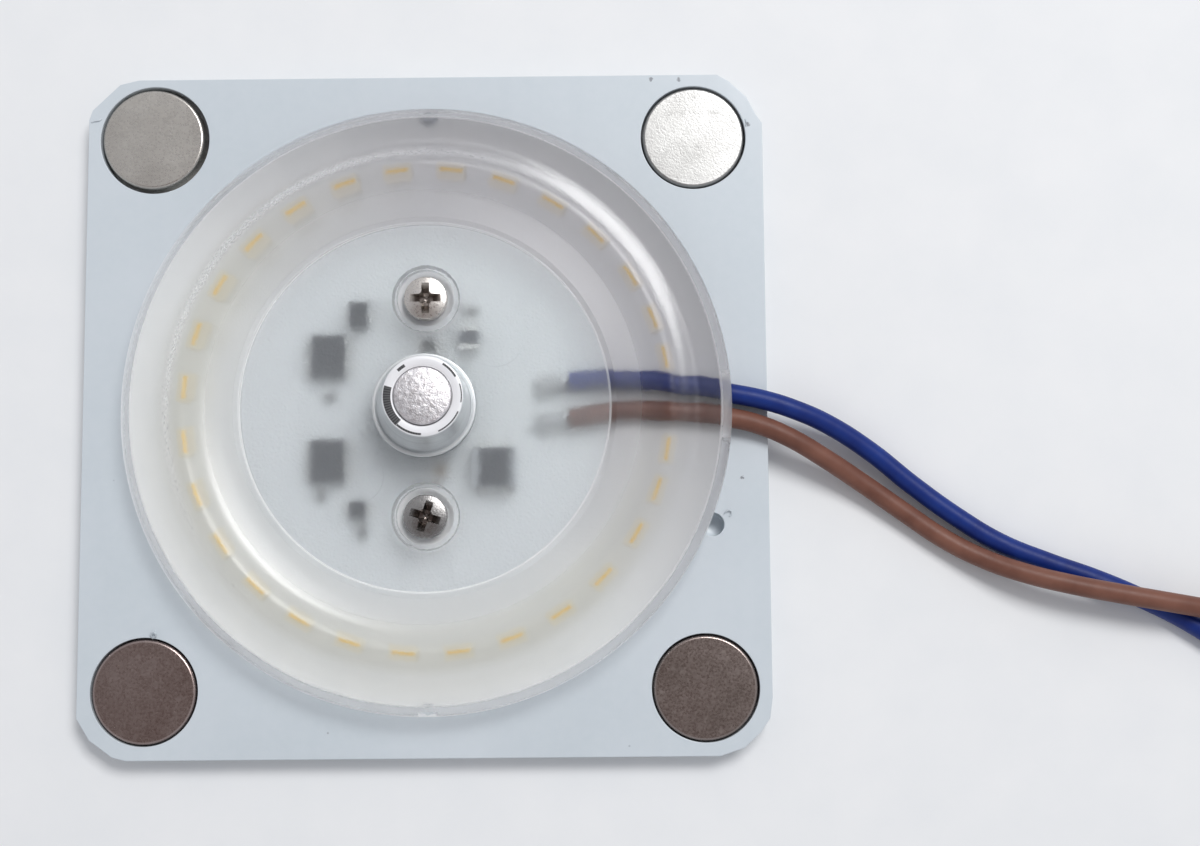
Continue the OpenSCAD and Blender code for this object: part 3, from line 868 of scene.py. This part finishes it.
def wire_notch():
    """The tool for the notch in the rim that the leads leave through."""
    half, corner = NOTCH_W / 2, NOTCH_CORNER_R
    outline = [(half, 0)] + arc((half - corner, NOTCH_TOP_Z - corner), corner, 0, 90, 8)
    outline += arc((corner - half, NOTCH_TOP_Z - corner), corner, 90, 180, 8)
    outline += [(-half, 0)]
    near, far = MODULE_X + LENS_R - WALL_T - 1, MODULE_X + LENS_R + 1
    return spanned("notch", [(near, y, z) for y, z in outline],
                   [(far, y, z) for y, z in outline])


def lens_mesh():
    """The moulding: the revolved section with its posts, pips, recesses and notch."""
    lens = revolved("ring_lens", lens_section(), (MODULE_X, 0, 0), 240)
    overlap, lift, bevel, proud, above = 0.4, 0.02, 0.5, 0.01, 1
    post_top, pip_low = SEAT_Z - SEAT_T, RIM_LOW_Z + lift
    post = [(0, BOARD_TOP), (POST_R, BOARD_TOP), (POST_R, post_top), (BOSS_R, post_top),
            (BOSS_R, UNDER_Z + overlap), (0, UNDER_Z + overlap)]
    pip = [(0, pip_low), (PIP_R, pip_low), (PIP_R, PIP_TOP_Z), (0, PIP_TOP_Z)]
    recess = [(0, SEAT_Z), (RECESS_R, SEAT_Z), (RECESS_R, DISC_Z - bevel),
              (BOSS_R, DISC_Z + proud), (BOSS_R, DISC_Z + above), (0, DISC_Z + above)]
    adds, cuts = [], []
    for side in (-1, 1):
        at = (MODULE_X, side * SCREW_Y, 0)
        adds.append(revolved("post", post, at, 96))
        adds.append(revolved("pip", pip, (MODULE_X, side * PIP_PLACE_R, 0), 40))
        cuts.append(revolved("recess", recess, at, 96))
        cuts.append(cylinder("bore", BORE_R, 0, TOOL_TOP_Z, at, 64))
    for x, y in EJECTORS:
        cuts.append(cylinder("mark", EJECTOR_R, UNDER_Z - 1, UNDER_Z + EJECTOR_DEPTH,
                             (MODULE_X + x, y, 0), 72))
    cuts.append(wire_notch())
    combine(lens, adds, "UNION")
    combine(lens, cuts, "DIFFERENCE")
    return lens


def lens_materials():
    """The lens's materials in the order of their slots."""
    # Each pair is the colour towards the lower left, then towards the upper right: the
    # change between them is painted light and shade
    ring = ((1, 1, 1), (0.825, 0.815, 0.825))
    disc = ((0.95, 0.967, 0.98), (0.96, 0.98, 0.99))
    haze = ((1, 1, 1), (0.93, 0.93, 0.94))
    return (
        lens_plastic("lens_ring", *ring, roughness=(0.34, 0.12), grain_mm=0.3,
                     depth_mm=0.022, milk=0, openness=(0.5, 0.3)),
        lens_plastic("lens_under", *ring, roughness=(0.27, 0.27), grain_mm=0.4,
                     depth_mm=0.02, milk=0, openness=(1, 1), shine=0.15),
        lens_plastic("lens_disc_top", *disc, roughness=(0.15, 0.15), grain_mm=0.25,
                     depth_mm=0.03, milk=0.03, openness=(0.4, 0.4)),
        lens_plastic("lens_frosted", *disc, roughness=(0.65, 0.65), grain_mm=0.3,
                     depth_mm=0.11, milk=0.1, openness=(0.4, 0.4), shine=0.2),
        lens_plastic("lens_cloudy", *haze, roughness=(0.5, 0.5), grain_mm=0.4,
                     depth_mm=0.02, milk=0.4, openness=(0.6, 0.6)))


def lens_slot(out, z, up):
    """Which material a face of the lens has, from its distance from the axis, its
    height, and how far it faces up."""
    if abs(out - DISC_R) < 0.15 and z > DISC_Z - 0.2:
        return CLOUDY
    if out > DISC_R:
        if up > 0.02 or out > LENS_R - 0.3:
            return RING_TOP
        return RING_UNDER if up < -0.7 and out < LENS_R - WALL_T - 0.3 else CLOUDY
    if z > UNDER_Z - 0.05 and up > -0.5:
        return DISC_TOP
    if z > UNDER_Z - 0.1 and up < -0.9:
        return FROSTED
    return CLOUDY


def add_lens():
    lens = lens_mesh()
    materials = lens_materials()
    smooth(lens, 24)
    show(lens, materials[0], "lens_clear", "lens_cover")
    for material in materials[1:]:
        lens.data.materials.append(material)
    for face in lens.data.polygons:
        at = face.center / MM
        out = math.hypot(at.x - MODULE_X, at.y)
        face.material_index = lens_slot(out, at.z, face.normal.z)


# ---- Screws and cap ----------------------------------------------------------------------

def cross_cutter(at, turn):
    """The tools for a cross recess: two crossed tapered wings round a pointed core."""
    above, depth, point = 0.6, 1.3, 0.3
    foot, mouth = (0.75, 0.25), (2.45, 0.56)
    top = (at[0], at[1], at[2] + HEAD_H)
    tools = []
    for k in range(2):
        spin = Matrix.Rotation(turn + k * math.pi / 2, 3, "Z")
        low, high = [[spin @ Vector((x * reach, y * half, z))
                      for x, y in ((-1, -1), (1, -1), (1, 1), (-1, 1))]
                     for z, (reach, half) in ((-depth, foot), (above, mouth))]
        tools.append(spanned("wing", low, high, top))
    core = [(0, -depth - point), (0.4, -depth), (1.05, above), (0, above)]
    tools.append(revolved("core", core, top, 24))
    return tools


def thread(at):
    """A helical ridge round a screw's shank, as a closed three-sided strip."""
    low, high, pitch, ridge = -5.2, -0.6, 0.9, 0.3
    sunk, half = 0.1, 0.18
    steps, fade_rate = 24, 6
    total = int((high - low) / pitch * steps)
    verts, faces = [], []
    for i in range(total + 1):
        t = i / total
        a = 2 * math.pi * i / steps
        tip = SHANK_R + ridge * min(1, fade_rate * t, fade_rate * (1 - t))
        z = low + (high - low) * t
        for r, dz in ((SHANK_R - sunk, -half), (tip, 0), (SHANK_R - sunk, half)):
            verts.append((r * math.cos(a), r * math.sin(a), z + dz))
    for i in range(total):
        for k in range(3):
            n = (k + 1) % 3
            faces.append((3 * i + k, 3 * i + n, 3 * i + 3 + n, 3 * i + 3 + k))
    faces += [(0, 1, 2), (3 * total + 2, 3 * total + 1, 3 * total)]
    return mesh_piece("thread", verts, faces, at)


def add_screw(place, side, turn, finish, light, dark, roughness):
    """A self-tapping screw with a flat head whose edge is rounded."""
    edge_r, edge_z, chamfer = 0.12, HEAD_H - 0.4, 0.1
    tip_r, tip_h, taper_h = 0.35, 0.4, 1
    inner = HEAD_R - edge_r
    dome = falling_arc(inner, HEAD_H - edge_z - edge_r)
    spread = math.degrees(math.asin(inner / dome))
    section = [(0, -SCREW_L), (tip_r, tip_h - SCREW_L), (SHANK_R, taper_h - SCREW_L),
               (SHANK_R, 0), (HEAD_R - chamfer, 0), (HEAD_R, chamfer)]
    section += arc((inner, edge_z), edge_r, 0, 90 - spread, 3)
    section += arc((0, HEAD_H - dome), dome, 90 - spread, 90, 14)
    at = (MODULE_X, side * SCREW_Y, SEAT_Z)
    name = "pan_screw_" + place
    screw = revolved(name, section, at, 96)
    combine(screw, cross_cutter(at, turn), "DIFFERENCE")
    bevelled(screw, 0.04)
    smooth(screw)
    apply_modifiers(screw)
    screw = joined(name, [screw, thread(at)])
    screw.name = name
    smooth(screw)
    recess_shade_at = (at[0], at[1], SEAT_Z + HEAD_H)
    show(screw, nickel(finish, light, dark, roughness, 1.8, recess_shade_at), "screw_nickel",
         "screw_" + place)


def add_screws():
    # The two screws are alike; their light and dark tones are painted light and shade, for
    # what each head mirrors
    add_screw("upper", 1, 0, "screw_lit_copy", (0.82, 0.78, 0.75), (0.64, 0.6, 0.56), 0.3)
    add_screw("lower", -1, math.radians(-18), "screw_shaded_copy", (0.42, 0.41, 0.4),
              (0.28, 0.27, 0.265), 0.26)


def size_of(node):
    """Radius, bottom and top of a round CAD node."""
    low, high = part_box(node)
    return (high.x - low.x) / 2 / MM, low.z / MM, high.z / MM


def lean(piece):
    """Shifts the points of a piece of the cap sideways, more with height."""
    _, low, high = size_of("cap_body")
    foot = low + CAP_LEAN_FROM
    for vert in piece.data.vertices:
        share = min(max((vert.co.z - foot) / (high - foot), 0), 1)
        vert.co.x += CAP_LEAN[0] * share
        vert.co.y += CAP_LEAN[1] * share


def add_cap():
    radius, z0, z1 = size_of("cap_body")
    r = radius + CAP_GROWTH
    neck_r = r - CAP_NECK_IN
    flange_z = z0 + CAP_FLANGE_T
    chamfer, lip_h, edge, inner_edge, pocket_edge, fillet = 0.1, 0.2, 0.12, 0.1, 0.08, 0.2
    section = [(0, z0), (r - chamfer, z0), (r, z0 + chamfer)]
    section += arc((r - edge, flange_z + lip_h - edge), edge, 0, 90, 4)
    section += arc((r - CAP_LIP, flange_z + lip_h - inner_edge), inner_edge, 90, 180, 3)
    section += arc((neck_r + fillet, flange_z + fillet), fillet, 270, 180, 4)
    section += arc((CAP_TOP_R - edge, z1 - edge), edge, 15, 90, 4)
    section += arc((CAP_POCKET_R + pocket_edge, z1 - pocket_edge), pocket_edge, 90, 180, 3)
    section += [(CAP_POCKET_R, z1 - CAP_POCKET_DEPTH), (0, z1 - CAP_POCKET_DEPTH)]
    cap = revolved("cap", section, (MODULE_X, 0, 0), 160)
    lean(cap)
    smooth(cap, 35)
    show(cap, turned_metal(z1), "cap_satin", "cap_body")


def add_cap_disc():
    """The hammered disc: a low dome with fine dents."""
    r, z0, z1 = size_of("cap_disc")
    rings, crown, sunk, edge_in = 34, 0.33, 0.02, 0.02
    dent_depth, dent_limit = 0.05, 0.25
    wall_top = z1 - 0.5
    section = [(0, z0), (r, z0), (r, wall_top)]
    for i in range(rings, -1, -1):
        t = i / rings
        inset = edge_in if i == rings else 0
        section.append((r * t * (1 - inset), z1 - sunk - crown * t * t))
    disc = revolved("hammered_disc", section, (MODULE_X, 0, 0))
    for vert in disc.data.vertices:
        if vert.co.z > wall_top + 0.05:
            dent = 0.6 * noise.noise(vert.co * 1.6) + 0.4 * noise.noise(vert.co * 3.7)
            vert.co.z += dent_depth * min(dent, dent_limit)
    lean(disc)
    smooth(disc, 60, weighted=False)
    show(disc, hammered_metal(), "disc_hammered", "cap_disc")


# ---- Stage -------------------------------------------------------------------------------

def add_lamp(name, energy, size, tilt, azimuth, distance):
    """A soft rectangular lamp that faces the origin, tilted from straight above."""
    data = bpy.data.lights.new(name, "AREA")
    data.shape = "RECTANGLE"
    data.size, data.size_y = size
    data.energy = energy
    lamp = placed(name, data)
    t, a = math.radians(tilt), math.radians(azimuth)
    away = Vector((math.sin(t) * math.cos(a), math.sin(t) * math.sin(a), math.cos(t)))
    lamp.location = away * distance
    lamp.rotation_euler = away.to_track_quat("Z", "Y").to_euler()


def add_floor():
    half, drop = 1.5, 0.00005
    floor = bpy.data.meshes.new("floor")
    floor.from_pydata([(-half, -half, 0), (half, -half, 0), (half, half, 0),
                       (-half, half, 0)], [], [(0, 1, 2, 3)])
    floor.materials.append(floor_paint())
    piece = placed("floor", floor)
    piece.location.z = -drop


def add_room():
    """Even light all round, with a dark brown patch overhead that the magnets mirror."""
    patch_way, patch_out, patch_in = (-0.1, -0.1, 1), 23, 11
    pale, brown, strength = (0.93, 0.95, 1, 1), (0.27, 0.2, 0.18, 1), 0.56
    world = bpy.data.worlds.new("studio")
    world.use_nodes = True
    tree = world.node_tree
    ways = tree.nodes.new("ShaderNodeTexCoord").outputs["Generated"]
    toward = tree.nodes.new("ShaderNodeVectorMath")
    toward.operation = "DOT_PRODUCT"
    tree.links.new(ways, toward.inputs[0])
    toward.inputs[1].default_value = Vector(patch_way).normalized()
    patch = tree.nodes.new("ShaderNodeMapRange")
    patch.interpolation_type = "SMOOTHSTEP"
    tree.links.new(toward.outputs["Value"], patch.inputs["Value"])
    patch.inputs["From Min"].default_value = math.cos(math.radians(patch_out))
    patch.inputs["From Max"].default_value = math.cos(math.radians(patch_in))
    mixed = tree.nodes.new("ShaderNodeMix")
    mixed.data_type = "RGBA"
    tree.links.new(patch.outputs["Result"], mixed.inputs[0])
    mixed.inputs[6].default_value = pale
    mixed.inputs[7].default_value = brown
    back = tree.nodes["Background"]
    tree.links.new(mixed.outputs[2], back.inputs["Color"])
    back.inputs["Strength"].default_value = strength
    bpy.context.scene.world = world


add_camera()
add_leads()
add_plate()
add_magnets()
add_board()
dress_board_parts()
add_lens()
add_screws()
add_cap()
add_cap_disc()
add_floor()
add_lamp("key", energy=4.9, size=(0.4, 0.3), tilt=33, azimuth=55, distance=0.9)
add_room()
bpy.context.scene.view_settings.view_transform = "Standard"
